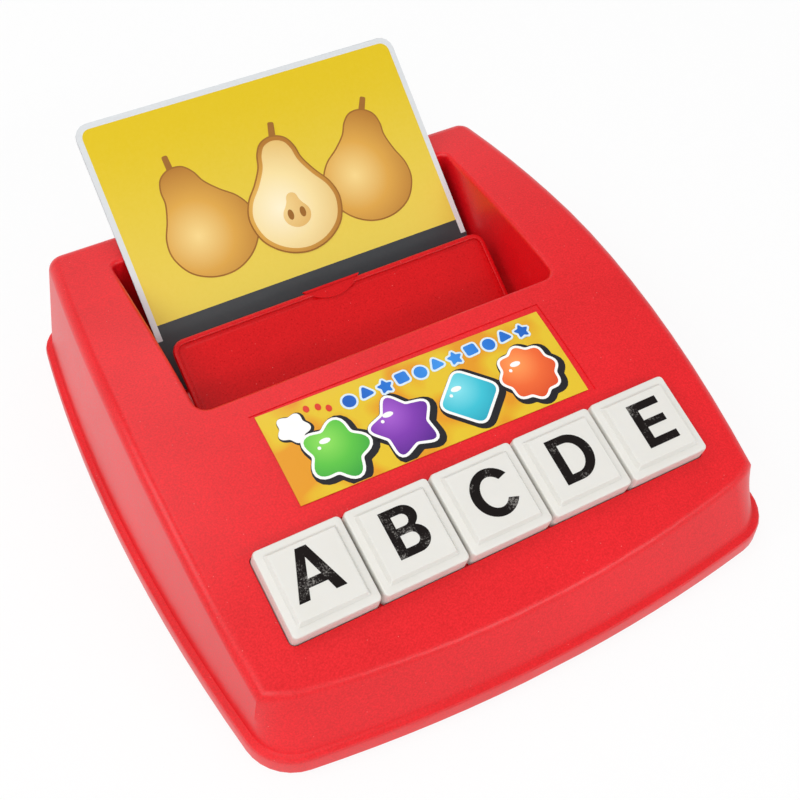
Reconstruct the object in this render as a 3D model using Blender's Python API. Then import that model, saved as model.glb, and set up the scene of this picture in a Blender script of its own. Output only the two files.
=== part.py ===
"""A letter matching game. A red moulded stand carries a row of letter tiles in front and a picture card
that leans in a well behind them. A hinged flap in the well hides the answer along the card's foot.

Metres, +Z up. X runs along the row of tiles and -Y is the front. The origin is the middle of the
stand's underside, on the table.
"""

import math
from collections import namedtuple

import bmesh
import bpy
from mathutils import Matrix, Vector

# Shared by the mouldings
SEAT_GAP = 0.0003
SHELL_WALL = 0.0022
CUT_OVERRUN = 0.002
CORNER_STEPS = 4
LEAST_CORNER_SHARE = 0.25
ROUND_STEPS = 2
SMOOTH_ANGLE = math.radians(32.0)

# Letter tiles
TILE_COUNT = 5
TILE_SIZE = 0.0295
TILE_GAP = 0.0005
TILE_TILT = math.radians(16.5)
TILE_HEIGHT = 0.0083
TILE_WALL = 0.0018
TILE_CORNER = 0.0018
TILE_EDGE_ROUND = 0.0009
TILE_LEAN = math.tan(math.radians(1.5))
TILE_RIB = 0.0012
TILE_RIB_FOOT = 0.0012
TILE_RIB_STEP = 0.00045
PLATEAU_HEIGHT = 0.0017
PLATEAU_LEDGE = 0.0026
PLATEAU_CHAMFER = 0.0009
PLATEAU_ROUND = 0.0004

# Title label, a thin sheet stuck a little crooked in its pocket
LABEL_WIDTH = 0.105
LABEL_LENGTH = 0.03406
LABEL_THICKNESS = 0.00025
LABEL_GLUE_GAP = 0.0001
LABEL_TILT = math.radians(11.0)
LABEL_SKEW = math.radians(-1.0)
LABEL_OFFSET = -0.0004
LABEL_STEPS = 6

# Picture card
CARD_WIDTH = 0.1262
CARD_LENGTH = 0.0995
CARD_THICKNESS = 0.0008
CARD_CORNER = 0.005
CARD_SIDE_PLAY = 0.0044
CARD_OFFSET = 0.0005

# Stand: the layout of its top from front to back
FRONT_MARGIN = 0.0301
TRAY_PLAY = 0.0003
DECK_STRIP = 0.0047
LABEL_MARGIN = 0.0018
WELL_STRIP = 0.0085
WELL_LENGTH = 0.0763
BACK_MARGIN = 0.0238
ROW_MARGIN = 0.02615

# Stand: the foot's outline and the wall's section
FRONT_BOW_RADIUS = 0.527
SIDE_BOW_RADIUS = 0.660
WIDEST_SHARE = 0.51
FRONT_CORNER_RADIUS = 0.017
BACK_CORNER_RADIUS = 0.014
FRONT_BOW_STEPS = 8
SIDE_BOW_STEPS = 14
PLAN_CORNER_STEPS = 7
FOOT_HEIGHT = 0.0071
FOOT_WALL = 0.0022
FOOT_LEDGE = 0.0026
FOOT_ROUND = 0.0005
RIM_ROUND = 0.0014
LEDGE_ROUND = 0.0008
BROW_ROUND = 0.0045
BROW_STEPS = 5
SIDE_LEAN = math.tan(math.radians(8.3))
FRONT_LEAN = math.tan(math.radians(24.7))
LEAN_START_SHARE = 0.12

# Stand: the crown of its top, by its slope at places from the front edge to the back one
CREST_HEIGHT = 0.050
FRONT_SLOPE = math.tan(math.radians(18.4))
WELL_SLOPE = math.tan(math.radians(7.0))
BACK_SLOPE = math.tan(math.radians(-5.6))
CREST_SHARE = 0.42
CROWN_ROUNDS = 12

# Stand: tray, pocket and well
TRAY_DEPTH = 0.0030
TRAY_FLOOR = 0.0015
POCKET_DEPTH = 0.00045
WELL_FLOOR = 0.0165
WELL_WALL = 0.002
WELL_LEAN = math.tan(math.radians(3.0))
WELL_FRONT_CORNER = 0.0045
WELL_BACK_CORNER = 0.0025
WELL_SIDE_STEPS = 8
WELL_FLOOR_ROUND = 0.001
WELL_RIM_ROUND = 0.0018
WELL_RIM_SWEEP = math.radians(70.0)
WELL_RIM_STEPS = 4
STOP_INSET = 0.0335
STOP_THICKNESS = 0.0025
STOP_HEIGHT = 0.0026
STOP_WIDTH_SHARE = 0.8

# Answer flap
FLAP_SIDE_PLAY = 0.0056
FLAP_LENGTH = 0.0338
FLAP_THICKNESS = 0.002
FLAP_CORNER = 0.0045
FLAP_REST_ANGLE = math.radians(32.0)
FLAP_EDGE_ROUND = 0.0009
BEAD_WIDTH = 0.0019
GROOVE_WIDTH = 0.0008
GROOVE_DEPTH = 0.0011
PANEL_DROP = 0.0008
HINGE_INSET = 0.0122
HINGE_HEIGHT = 0.0033
BARREL_RADIUS = 0.0025
BARREL_PLAY = 0.0008
PIN_RADIUS = 0.002
PIN_STEPS = 20
SCOOP_WIDTH = 0.0207
SCOOP_DEPTH = 0.0036
SCOOP_RIDGE = 0.0008
SCOOP_TAB = 0.0008
SCOOP_SINK = 0.0006
SCOOP_STEP = 0.0001
SCOOP_ROOT_SHARE = 0.75
SCOOP_STEPS = 12
REST_INSET = 0.002
REST_WIDTH = 0.004
REST_START = 0.004
REST_LENGTH = 0.009

# Base cover and its screws
COVER_THICKNESS = 0.002
COVER_EDGE_ROUND = 0.0004
CUP_WALL = 0.0014
CUP_FLOOR = 0.0016
COVER_RIB = 0.0012
COVER_RIB_HEIGHT = 0.002
COVER_RIB_STEP = 0.0005
COVER_RIBS_ACROSS = 4
COVER_RIBS_ALONG = 3
RIB_FIELD_SHARE = 0.84
BOSS_RADIUS = 0.0033
BOSS_HOLE_DEPTH = 0.011
BOSS_STEPS = 18
SCREW_FRONT_INSET = 0.026
SCREW_BACK_INSET = 0.030
SCREW_HEAD_RADIUS = 0.0028
SCREW_HEAD_HEIGHT = 0.0018
SCREW_HEAD_SINK = 0.0006
SCREW_RADIUS = 0.0014
SCREW_LENGTH = 0.011
SCREW_TIP = 0.002
SCREW_TIP_SHARE = 0.33
SCREW_STEPS = 16
SCREW_HEAD_SHARES = ((0.55, 0.0), (0.9, 0.3), (1.0, 0.6), (1.0, 1.0))

# Places that follow from these sizes
TILE_PITCH = TILE_SIZE + TILE_GAP
ROW_WIDTH = TILE_COUNT * TILE_SIZE + (TILE_COUNT - 1) * TILE_GAP
TRAY_WIDTH = ROW_WIDTH + 2 * TRAY_PLAY
TRAY_LENGTH = TILE_SIZE + 2 * TRAY_PLAY
TRAY_RUN = TRAY_LENGTH * math.cos(TILE_TILT)
POCKET_WIDTH = LABEL_WIDTH + 2 * LABEL_MARGIN
POCKET_RUN = LABEL_LENGTH * math.cos(LABEL_TILT) + 2 * LABEL_MARGIN
WELL_WIDTH = CARD_WIDTH + 2 * CARD_SIDE_PLAY
FLAP_WIDTH = WELL_WIDTH - 2 * FLAP_SIDE_PLAY
STAND_WIDTH = ROW_WIDTH + 2 * ROW_MARGIN
STAND_DEPTH = (
    FRONT_MARGIN + TRAY_RUN + DECK_STRIP + POCKET_RUN + WELL_STRIP + WELL_LENGTH + BACK_MARGIN
)
FRONT = -STAND_DEPTH / 2
BACK = STAND_DEPTH / 2
TRAY_Y = FRONT + FRONT_MARGIN + TRAY_RUN / 2
LABEL_Y = TRAY_Y + TRAY_RUN / 2 + DECK_STRIP + POCKET_RUN / 2
WELL_FRONT = LABEL_Y + POCKET_RUN / 2 + WELL_STRIP
WELL_BACK = WELL_FRONT + WELL_LENGTH
CREST_Y = WELL_FRONT + CREST_SHARE * WELL_LENGTH
CROWN = (
    (FRONT, FRONT_SLOPE),
    (TRAY_Y, math.tan(TILE_TILT)),
    (LABEL_Y, math.tan(LABEL_TILT)),
    (WELL_FRONT, WELL_SLOPE),
    (CREST_Y, 0.0),
    (BACK, BACK_SLOPE),
)
HINGE_Y = WELL_FRONT + HINGE_INSET
HINGE_Z = WELL_FLOOR + HINGE_HEIGHT
CUP_TOP = SCREW_HEAD_SINK + SCREW_HEAD_HEIGHT + SEAT_GAP + CUP_FLOOR
BOSS_FOOT = CUP_TOP + SEAT_GAP

Place = namedtuple("Place", "x y inward_x inward_y")
Rectangle = namedtuple("Rectangle", "half_width front back front_corner back_corner side_steps")


# Materials


def linear(value):
    """One channel of a colour, from its value on screen to the light it stands for."""
    return value / 12.92 if value <= 0.04045 else ((value + 0.055) / 1.055) ** 2.4


def material(name, colour, roughness, metallic=0.0):
    """A Principled material whose colour is written as on screen, such as E4282D."""
    made = bpy.data.materials.new(name)
    made.use_nodes = True
    shader = made.node_tree.nodes["Principled BSDF"]
    channels = [int(colour[k : k + 2], 16) / 255 for k in (0, 2, 4)]
    shader.inputs["Base Color"].default_value = [linear(c) for c in channels] + [1.0]
    shader.inputs["Roughness"].default_value = roughness
    shader.inputs["Metallic"].default_value = metallic
    return made


# Outlines: the right half of each, as places in order from front to back


def arc(centre, radius, start, end, steps):
    """Places along an arc of the outline, without its first point."""
    angles = [start + (end - start) * k / steps for k in range(1, steps + 1)]
    return [
        Place(
            centre[0] + radius * math.cos(a),
            centre[1] + radius * math.sin(a),
            -math.cos(a),
            -math.sin(a),
        )
        for a in angles
    ]


def straight(first, last, steps):
    """Places along a straight stretch of the outline, without its first point."""
    shares = [k / steps for k in range(1, steps + 1)]
    return [Place(*(a + (b - a) * s for a, b in zip(first, last))) for s in shares]


def rectangle_places(shape, inset):
    """The right half of a rectangle with rounded corners, drawn in all round by an inset."""
    quarter = math.pi / 2
    half_width = shape.half_width - inset
    front = shape.front + inset
    back = shape.back - inset
    front_corner = max(shape.front_corner - inset, shape.front_corner * LEAST_CORNER_SHARE)
    back_corner = max(shape.back_corner - inset, shape.back_corner * LEAST_CORNER_SHARE)
    low = (half_width - front_corner, front + front_corner)
    high = (half_width - back_corner, back - back_corner)
    places = [Place(low[0], front, 0.0, 1.0)]
    places += arc(low, front_corner, -quarter, 0.0, CORNER_STEPS)
    places += straight(places[-1], Place(half_width, high[1], -1.0, 0.0), shape.side_steps)
    places += arc(high, back_corner, 0.0, quarter, CORNER_STEPS)
    return places


def corner_centre(first, first_reach, second, second_reach):
    """The point at these distances from two centres, on the side of greater x."""
    between = second - first
    span = between.length
    along = (first_reach**2 - second_reach**2 + span**2) / (2 * span)
    off = math.sqrt(first_reach**2 - along**2)
    way = between / span
    middle = first + along * way
    across = off * Vector((-way.y, way.x))
    return max(middle + across, middle - across, key=lambda point: point.x)


def angle_of(vector):
    return math.atan2(vector.y, vector.x)


def foot_outline():
    """The foot's plan: bowed front and sides, a straight back and four rounded corners."""
    front_centre = Vector((0.0, FRONT + FRONT_BOW_RADIUS))
    side_centre = Vector((STAND_WIDTH / 2 - SIDE_BOW_RADIUS, FRONT + WIDEST_SHARE * STAND_DEPTH))
    front_corner = corner_centre(
        front_centre,
        FRONT_BOW_RADIUS - FRONT_CORNER_RADIUS,
        side_centre,
        SIDE_BOW_RADIUS - FRONT_CORNER_RADIUS,
    )
    back_y = BACK - BACK_CORNER_RADIUS
    back_reach = SIDE_BOW_RADIUS - BACK_CORNER_RADIUS
    back_x = side_centre.x + math.sqrt(back_reach**2 - (back_y - side_centre.y) ** 2)
    back_corner = Vector((back_x, back_y))
    turns = (
        -math.pi / 2,
        angle_of(front_corner - front_centre),
        angle_of(front_corner - side_centre),
        angle_of(back_corner - side_centre),
        math.pi / 2,
    )
    places = arc(front_centre, FRONT_BOW_RADIUS, turns[0], turns[1], FRONT_BOW_STEPS)
    places += arc(front_corner, FRONT_CORNER_RADIUS, turns[1], turns[2], PLAN_CORNER_STEPS)
    places += arc(side_centre, SIDE_BOW_RADIUS, turns[2], turns[3], SIDE_BOW_STEPS)
    places += arc(back_corner, BACK_CORNER_RADIUS, turns[3], turns[4], PLAN_CORNER_STEPS)
    return places


# Solids


def section(*points):
    """A section of a wall, as its insets and heights."""
    return [Vector(point) for point in points]


def rounded(before, corner, after, radius, steps):
    """The arc that rounds a corner of a section, tangent points included."""
    back = (before - corner).normalized()
    on = (after - corner).normalized()
    half = back.angle(on) / 2
    start = corner + back * radius / math.tan(half)
    end = corner + on * radius / math.tan(half)
    weight = math.sin(half)
    points = []
    for s in (k / steps for k in range(steps + 1)):
        shares = ((1 - s) ** 2, 2 * s * (1 - s) * weight, s**2)
        point = start * shares[0] + corner * shares[1] + end * shares[2]
        points.append(point / sum(shares))
    return points


def rings_along(places, section_at):
    """Half rings from the section at each place of an outline: its insets and heights."""
    columns = []
    for place in places:
        columns.append(
            [
                (place.x + inset * place.inward_x, place.y + inset * place.inward_y, height)
                for inset, height in section_at(place)
            ]
        )
    return list(zip(*columns))


def rectangle_rings(shape, levels, base=None):
    """Half rings of a rectangle, one for each inset and height, above a base that may be curved."""
    rings = []
    for inset, height in levels:
        places = rectangle_places(shape, inset)
        rings.append([(p.x, p.y, height + (base(p.y) if base else 0.0)) for p in places])
    return rings


def loft(rings):
    """A closed solid round the middle plane, from the right halves of its rings, lowest first.

    Each half ring runs from front to back. The lowest is flat and is closed by one face. The highest
    is closed by strips from side to side, so that it may be curved from front to back.
    """
    shape = bmesh.new()
    whole = []
    for ring in rings:
        right = [shape.verts.new(point) for point in ring]
        left = [shape.verts.new((-x, y, z)) for x, y, z in ring]
        whole.append(right + left[::-1])
    for low, high in zip(whole, whole[1:]):
        for k in range(len(low)):
            shape.faces.new((low[k - 1], low[k], high[k], high[k - 1]))
    shape.faces.new(whole[0][::-1])
    top = whole[-1]
    for k in range(1, len(rings[0])):
        shape.faces.new((top[k - 1], top[k], top[-k - 1], top[-k]))
    return shape


def turned(shape, profile, steps, place):
    """Adds a solid of revolution about its own Z, from radii and heights listed bottom to top."""
    rings = []
    for radius, height in profile:
        angles = (2 * math.pi * k / steps for k in range(steps))
        ring = [(radius * math.cos(a), radius * math.sin(a), height) for a in angles]
        rings.append([shape.verts.new(place @ Vector(point)) for point in ring])
    for low, high in zip(rings, rings[1:]):
        for k in range(steps):
            shape.faces.new((low[k - 1], low[k], high[k], high[k - 1]))
    shape.faces.new(rings[0][::-1])
    shape.faces.new(rings[-1])


def block(shape, low, high, place=None):
    """Adds a box between two corners, turned and moved by a matrix."""
    low = Vector(low)
    high = Vector(high)
    size = Matrix.Diagonal((*(high - low), 1.0))
    place = place or Matrix.Identity(4)
    bmesh.ops.create_cube(shape, size=1.0, matrix=place @ Matrix.Translation((low + high) / 2) @ size)


def prism(shape, outline, start, end):
    """Adds an outline in Y and Z, drawn out along X from one side to the other."""
    near = [shape.verts.new((start, y, z)) for y, z in outline]
    far = [shape.verts.new((end, y, z)) for y, z in outline]
    sides = [shape.faces.new(near[::-1]), shape.faces.new(far)]
    for k in range(len(outline)):
        sides.append(shape.faces.new((near[k - 1], near[k], far[k], far[k - 1])))
    bmesh.ops.recalc_face_normals(shape, faces=sides)


def crown_slope(y):
    """The top's rise for each unit of depth, changing evenly from one place to the next."""
    if y <= FRONT:
        return FRONT_SLOPE
    for (near, near_slope), (far, far_slope) in zip(CROWN, CROWN[1:]):
        if y <= far:
            return near_slope + (far_slope - near_slope) * (y - near) / (far - near)
    return BACK_SLOPE


def crown_height(y):
    """The top's height: the crest's, less what the slope adds up to between there and y."""
    low, high = sorted((CREST_Y, y))
    marks = [low] + [place for place, _ in CROWN if low < place < high] + [high]
    rise = sum((b - a) * (crown_slope(a) + crown_slope(b)) / 2 for a, b in zip(marks, marks[1:]))
    return CREST_HEIGHT + (rise if y > CREST_Y else -rise)


def crown_slab(width, run, centre, skew, low, high):
    """A sheet that follows the crown, between two heights above it, turned a little in plan."""
    shape = bmesh.new()
    rows = []
    for k in range(LABEL_STEPS + 1):
        row = []
        for side, offset in ((-1, low), (1, low), (1, high), (-1, high)):
            flat = Vector((side * width / 2, run * (k / LABEL_STEPS - 1 / 2), 0.0))
            spot = Vector(centre) + Matrix.Rotation(skew, 3, "Z") @ flat
            row.append(shape.verts.new((spot.x, spot.y, crown_height(spot.y) + offset)))
        rows.append(row)
    for near, far in zip(rows, rows[1:]):
        for k in range(len(near)):
            shape.faces.new((near[k - 1], near[k], far[k], far[k - 1]))
    shape.faces.new(rows[0][::-1])
    shape.faces.new(rows[-1])
    bmesh.ops.recalc_face_normals(shape, faces=shape.faces)
    return shape


def placed(name, shape, look=None):
    """An object from a finished shape. Without a look it is a cutter or an addition."""
    mesh = bpy.data.meshes.new(name)
    shape.to_mesh(mesh)
    shape.free()
    made = bpy.data.objects.new(name, mesh)
    bpy.context.scene.collection.objects.link(made)
    if look:
        mesh.materials.append(look)
    else:
        made.hide_render = True
        made.display_type = "WIRE"
    return made


def carved(body, steps):
    """Applies cuts and additions to an object in order, then drops the helpers."""
    for name, operation, shape in steps:
        helper = placed(f"{body.name}_{name}", shape)
        change = body.modifiers.new(name, "BOOLEAN")
        change.operation = operation
        change.solver = "EXACT"
        change.object = helper
    bpy.context.view_layer.update()
    graph = bpy.context.evaluated_depsgraph_get()
    mesh = bpy.data.meshes.new_from_object(body.evaluated_get(graph))
    mesh.name = body.name
    helpers = [change.object for change in body.modifiers]
    body.modifiers.clear()
    body.data = mesh
    for helper in helpers:
        bpy.data.objects.remove(helper)


def smooth(made):
    """Shades the rounds smooth and keeps the edges sharp."""
    made.data.shade_smooth()
    made.data.set_sharp_from_angle(angle=SMOOTH_ANGLE)


# The stand


def wall_lean(place):
    """How far the wall leans in for each unit of height. The lean grows round the front corners."""
    forward = max(0.0, (place.inward_y - LEAN_START_SHARE) / (1 - LEAN_START_SHARE))
    return SIDE_LEAN + (FRONT_LEAN - SIDE_LEAN) * math.sin(forward * math.pi / 2)


def wall_top(place, start, drop):
    """Where a wall that leans in from the ledge meets the crown, or a surface below it."""
    lean = wall_lean(place)
    height = CREST_HEIGHT
    for _ in range(CROWN_ROUNDS):
        inset = start + (height - FOOT_HEIGHT) * lean
        height = crown_height(place.y + inset * place.inward_y) - drop
    return Vector((inset, height))


def inward_from(place, brow):
    """A point a unit further in from the brow of a wall, along the crown."""
    rise = crown_slope(place.y + brow.x * place.inward_y) * place.inward_y
    return brow + Vector((1.0, rise))


def outer_section(place):
    """Foot rim, ledge, leaning wall and rounded brow."""
    below, foot, rim, ledge = section(
        (FOOT_LEDGE, 0.0), (0.0, 0.0), (0.0, FOOT_HEIGHT), (FOOT_LEDGE, FOOT_HEIGHT)
    )
    brow = wall_top(place, FOOT_LEDGE, 0.0)
    points = rounded(below, foot, rim, FOOT_ROUND, ROUND_STEPS)
    points += rounded(foot, rim, ledge, RIM_ROUND, ROUND_STEPS)
    points += rounded(rim, ledge, brow, LEDGE_ROUND, ROUND_STEPS)
    points += rounded(ledge, brow, inward_from(place, brow), BROW_ROUND, BROW_STEPS)
    points[-1].y = crown_height(place.y + points[-1].x * place.inward_y)
    return points


def cavity_section(place):
    """The hollow under the shell, open below, with a step over the base cover."""
    lean = wall_lean(place)
    start = FOOT_LEDGE + SHELL_WALL * math.hypot(1.0, lean)
    step = FOOT_HEIGHT - SHELL_WALL
    brow = wall_top(place, start, SHELL_WALL)
    points = section(
        (FOOT_WALL, -CUT_OVERRUN), (FOOT_WALL, step), (start - SHELL_WALL * lean, step)
    )
    round_in = BROW_ROUND - SHELL_WALL
    return points + rounded(points[-1], brow, inward_from(place, brow), round_in, ROUND_STEPS)


WELL = Rectangle(
    WELL_WIDTH / 2, WELL_FRONT, WELL_BACK, WELL_FRONT_CORNER, WELL_BACK_CORNER, WELL_SIDE_STEPS
)


def well_inset(height):
    """How far the well's leaning walls have come in at a height below the crest."""
    return (CREST_HEIGHT - height) * WELL_LEAN


def tub_rings():
    """The outside of the well's walls and floor, ending inside the shell."""
    low = WELL_FLOOR - WELL_WALL
    bottom = rectangle_rings(WELL, ((well_inset(low) - WELL_WALL, low),))
    top = rectangle_rings(WELL, ((-WELL_WALL, -SHELL_WALL / 2),), crown_height)
    return bottom + top


def well_rings():
    """The inside of the well: rounded floor edge, leaning wall and a rim that opens out."""
    below_rim = CREST_HEIGHT - WELL_RIM_ROUND
    inside, foot, wall = section(
        (WELL_WIDTH, WELL_FLOOR),
        (well_inset(WELL_FLOOR), WELL_FLOOR),
        (well_inset(below_rim), below_rim),
    )
    floor = rounded(inside, foot, wall, WELL_FLOOR_ROUND, ROUND_STEPS)
    levels = []
    for k in range(WELL_RIM_STEPS + 1):
        turn = WELL_RIM_SWEEP * k / WELL_RIM_STEPS
        out = WELL_RIM_ROUND * (1 - math.cos(turn))
        below = WELL_RIM_ROUND * (1 - math.sin(turn))
        levels.append((wall.x - out, -below))
    inset, height = levels[-1]
    past = WELL_RIM_ROUND
    levels.append(
        (inset - past * math.sin(WELL_RIM_SWEEP), height + past * math.cos(WELL_RIM_SWEEP))
    )
    return rectangle_rings(WELL, floor) + rectangle_rings(WELL, levels, crown_height)


def tray_frame():
    """The frame of the tiles' tray: the middle of its floor, with Z square to it."""
    depth = TRAY_DEPTH / math.cos(TILE_TILT)
    spot = Matrix.Translation((0.0, TRAY_Y, crown_height(TRAY_Y) - depth))
    return spot @ Matrix.Rotation(TILE_TILT, 4, "X")


def flap_frame():
    """The frame of the flap's hinge, with Y up the flap and Z out of its face."""
    spot = Matrix.Translation((0.0, HINGE_Y, HINGE_Z))
    return spot @ Matrix.Rotation(FLAP_REST_ANGLE, 4, "X")


def screw_places():
    """Three screws down each side, midway between the well's wall and the shell's."""
    inner_wall = STAND_WIDTH / 2 - FOOT_LEDGE - SHELL_WALL - (CREST_HEIGHT - FOOT_HEIGHT) * SIDE_LEAN
    x = (WELL_WIDTH / 2 + WELL_WALL + inner_wall) / 2
    front = FRONT + SCREW_FRONT_INSET
    back = BACK - SCREW_BACK_INSET
    return [(side * x, y) for y in (front, (front + back) / 2, back) for side in (-1, 1)]


def boss_shapes():
    """The posts that take the screws, and their blind holes."""
    posts = bmesh.new()
    holes = bmesh.new()
    for x, y in screw_places():
        spot = Matrix.Translation((x, y, 0.0))
        top = crown_height(y) - SHELL_WALL / 2
        hole = SCREW_RADIUS + SEAT_GAP
        span = (BOSS_FOOT - CUT_OVERRUN, BOSS_FOOT + BOSS_HOLE_DEPTH)
        turned(posts, ((BOSS_RADIUS, BOSS_FOOT), (BOSS_RADIUS, top)), BOSS_STEPS, spot)
        turned(holes, ((hole, span[0]), (hole, span[1])), BOSS_STEPS, spot)
    return posts, holes


def tray_shapes():
    """The tray that the tiles stand in, and the block that gives it a floor and walls below the deck."""
    frame = tray_frame()
    side = TRAY_WIDTH / 2
    end = TRAY_LENGTH / 2
    rim = TRAY_FLOOR
    top = TRAY_DEPTH - SHELL_WALL / 2
    floor = bmesh.new()
    block(floor, (-side - rim, -end - rim, -TRAY_FLOOR), (side + rim, end + rim, top), frame)
    corner = TILE_CORNER + TRAY_PLAY
    plan = Rectangle(side, -end, end, corner, corner, 1)
    tray = loft(rectangle_rings(plan, section((0.0, 0.0), (0.0, TRAY_DEPTH + CUT_OVERRUN))))
    tray.transform(frame)
    return floor, tray


def well_fittings():
    """The rests that hold the flap at its angle, and the stop at the card's foot."""
    shape = bmesh.new()
    root = WELL_FLOOR - WELL_WALL / 2
    under = BARREL_RADIUS - FLAP_THICKNESS - SEAT_GAP
    frame = flap_frame()
    low = frame @ Vector((0.0, REST_START, under))
    high = frame @ Vector((0.0, REST_START + REST_LENGTH, under))
    rest = ((low.y, root), (high.y, root), (high.y, high.z), (low.y, low.z))
    outer = FLAP_WIDTH / 2 - REST_INSET
    inner = outer - REST_WIDTH
    prism(shape, rest, -outer, -inner)
    prism(shape, rest, inner, outer)
    front = WELL_FRONT + STOP_INSET
    half = STOP_WIDTH_SHARE * CARD_WIDTH / 2
    block(shape, (-half, front, root), (half, front + STOP_THICKNESS, WELL_FLOOR + STOP_HEIGHT))
    return shape


def hinge_holes():
    """Holes through the well's side walls for the flap's pins."""
    shape = bmesh.new()
    reach = WELL_WIDTH / 2 + WELL_WALL + CUT_OVERRUN
    hole = PIN_RADIUS + SEAT_GAP
    spot = Matrix.Translation((0.0, HINGE_Y, HINGE_Z)) @ Matrix.Rotation(math.pi / 2, 4, "Y")
    turned(shape, ((hole, -reach), (hole, reach)), PIN_STEPS, spot)
    return shape


def make_stand(look):
    """The upper moulding: shell, tile tray, label pocket, well, hinge holes and screw posts."""
    outline = foot_outline()
    stand = placed("stand_housing", loft(rings_along(outline, outer_section)), look)
    posts, holes = boss_shapes()
    floor, tray = tray_shapes()
    pocket = crown_slab(
        POCKET_WIDTH, POCKET_RUN, (0.0, LABEL_Y, 0.0), 0.0, -POCKET_DEPTH, CUT_OVERRUN
    )
    carved(
        stand,
        (
            ("cavity", "DIFFERENCE", loft(rings_along(outline, cavity_section))),
            ("tub", "UNION", loft(tub_rings())),
            ("posts", "UNION", posts),
            ("tray_floor", "UNION", floor),
            ("well", "DIFFERENCE", loft(well_rings())),
            ("fittings", "UNION", well_fittings()),
            ("hinge_holes", "DIFFERENCE", hinge_holes()),
            ("tray", "DIFFERENCE", tray),
            ("pocket", "DIFFERENCE", pocket),
            ("screw_holes", "DIFFERENCE", holes),
        ),
    )
    smooth(stand)


# The base cover and its screws


def cover_section(_place):
    """A flat plate that fits inside the foot's rim, with a rounded lower edge."""
    inset = FOOT_WALL + SEAT_GAP
    edge = COVER_EDGE_ROUND
    return section((inset + edge, 0.0), (inset, edge), (inset, COVER_THICKNESS))


def even_places(half, count):
    """Places from one side to the other, evenly apart."""
    return [half * (2 * k / (count - 1) - 1) for k in range(count)]


def cover_ribs():
    """Stiffening ribs across the cover's upper side."""
    shape = bmesh.new()
    half_x = RIB_FIELD_SHARE * WELL_WIDTH / 2
    low = COVER_THICKNESS / 2
    high = COVER_THICKNESS + COVER_RIB_HEIGHT
    for y in even_places(RIB_FIELD_SHARE * STAND_DEPTH / 2, COVER_RIBS_ACROSS):
        block(shape, (-half_x, y - COVER_RIB / 2, low), (half_x, y + COVER_RIB / 2, high))
    return shape


def cover_ribs_along():
    """The slightly lower ribs that cross them, from front to back."""
    shape = bmesh.new()
    half_y = RIB_FIELD_SHARE * STAND_DEPTH / 2 + COVER_RIB
    low = COVER_THICKNESS / 2 + COVER_RIB_STEP
    high = COVER_THICKNESS + COVER_RIB_HEIGHT - COVER_RIB_STEP
    for x in even_places(RIB_FIELD_SHARE**2 * WELL_WIDTH / 2, COVER_RIBS_ALONG):
        block(shape, (x - COVER_RIB / 2, -half_y, low), (x + COVER_RIB / 2, half_y, high))
    return shape


def cover_cups():
    """Cups that sink the screw heads, their bores and the holes for the shanks."""
    cups = bmesh.new()
    bores = bmesh.new()
    bore = SCREW_HEAD_RADIUS + SEAT_GAP
    floor = CUP_TOP - CUP_FLOOR
    hole = SCREW_RADIUS + SEAT_GAP
    for x, y in screw_places():
        spot = Matrix.Translation((x, y, 0.0))
        turned(cups, ((bore + CUP_WALL, COVER_THICKNESS / 2), (bore + CUP_WALL, CUP_TOP)), BOSS_STEPS, spot)
        stepped = ((bore, -CUT_OVERRUN), (bore, floor), (hole, floor), (hole, CUP_TOP + CUT_OVERRUN))
        turned(bores, stepped, BOSS_STEPS, spot)
    return cups, bores


def make_cover(look):
    """The plate that closes the stand from below, flush with the foot's rim."""
    cover = placed("base_cover", loft(rings_along(foot_outline(), cover_section)), look)
    cups, bores = cover_cups()
    carved(
        cover,
        (
            ("ribs", "UNION", cover_ribs()),
            ("ribs_along", "UNION", cover_ribs_along()),
            ("cups", "UNION", cups),
            ("bores", "DIFFERENCE", bores),
        ),
    )
    smooth(cover)


def screw_profile():
    """Round head below, shank above it, ending in a blunt tip."""
    head = [
        (share * SCREW_HEAD_RADIUS, height * SCREW_HEAD_HEIGHT) for share, height in SCREW_HEAD_SHARES
    ]
    top = SCREW_HEAD_HEIGHT + SCREW_LENGTH
    shank = [
        (SCREW_RADIUS, SCREW_HEAD_HEIGHT),
        (SCREW_RADIUS, top - SCREW_TIP),
        (SCREW_TIP_SHARE * SCREW_RADIUS, top),
    ]
    return head + shank


def make_screws(look):
    """Self-tapping screws, sunk in the cover's cups and standing in the posts' holes."""
    for number, (x, y) in enumerate(screw_places(), 1):
        shape = bmesh.new()
        turned(shape, screw_profile(), SCREW_STEPS, Matrix.Identity(4))
        screw = placed(f"base_screw_{number}", shape, look)
        screw.location = (x, y, SCREW_HEAD_SINK)
        smooth(screw)


# The answer flap


def flap_levels():
    """The flap's edge: flat back, round outer bead, a groove inside it and the panel."""
    face = BARREL_RADIUS
    back = face - FLAP_THICKNESS
    edge = FLAP_EDGE_ROUND
    groove = face - GROOVE_DEPTH
    floor_end = BEAD_WIDTH + GROOVE_WIDTH
    outer_back, outer_face, bead_face, bead_foot = section(
        (0.0, back), (0.0, face), (BEAD_WIDTH, face), (BEAD_WIDTH, groove)
    )
    points = section((edge / 2, back), (0.0, back + edge / 2))
    points += rounded(outer_back, outer_face, bead_face, edge, ROUND_STEPS)
    points += rounded(outer_face, bead_face, bead_foot, edge / 2, ROUND_STEPS)
    points += section(
        (BEAD_WIDTH, groove), (floor_end, groove), (floor_end + PANEL_DROP, face - PANEL_DROP)
    )
    return points


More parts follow.
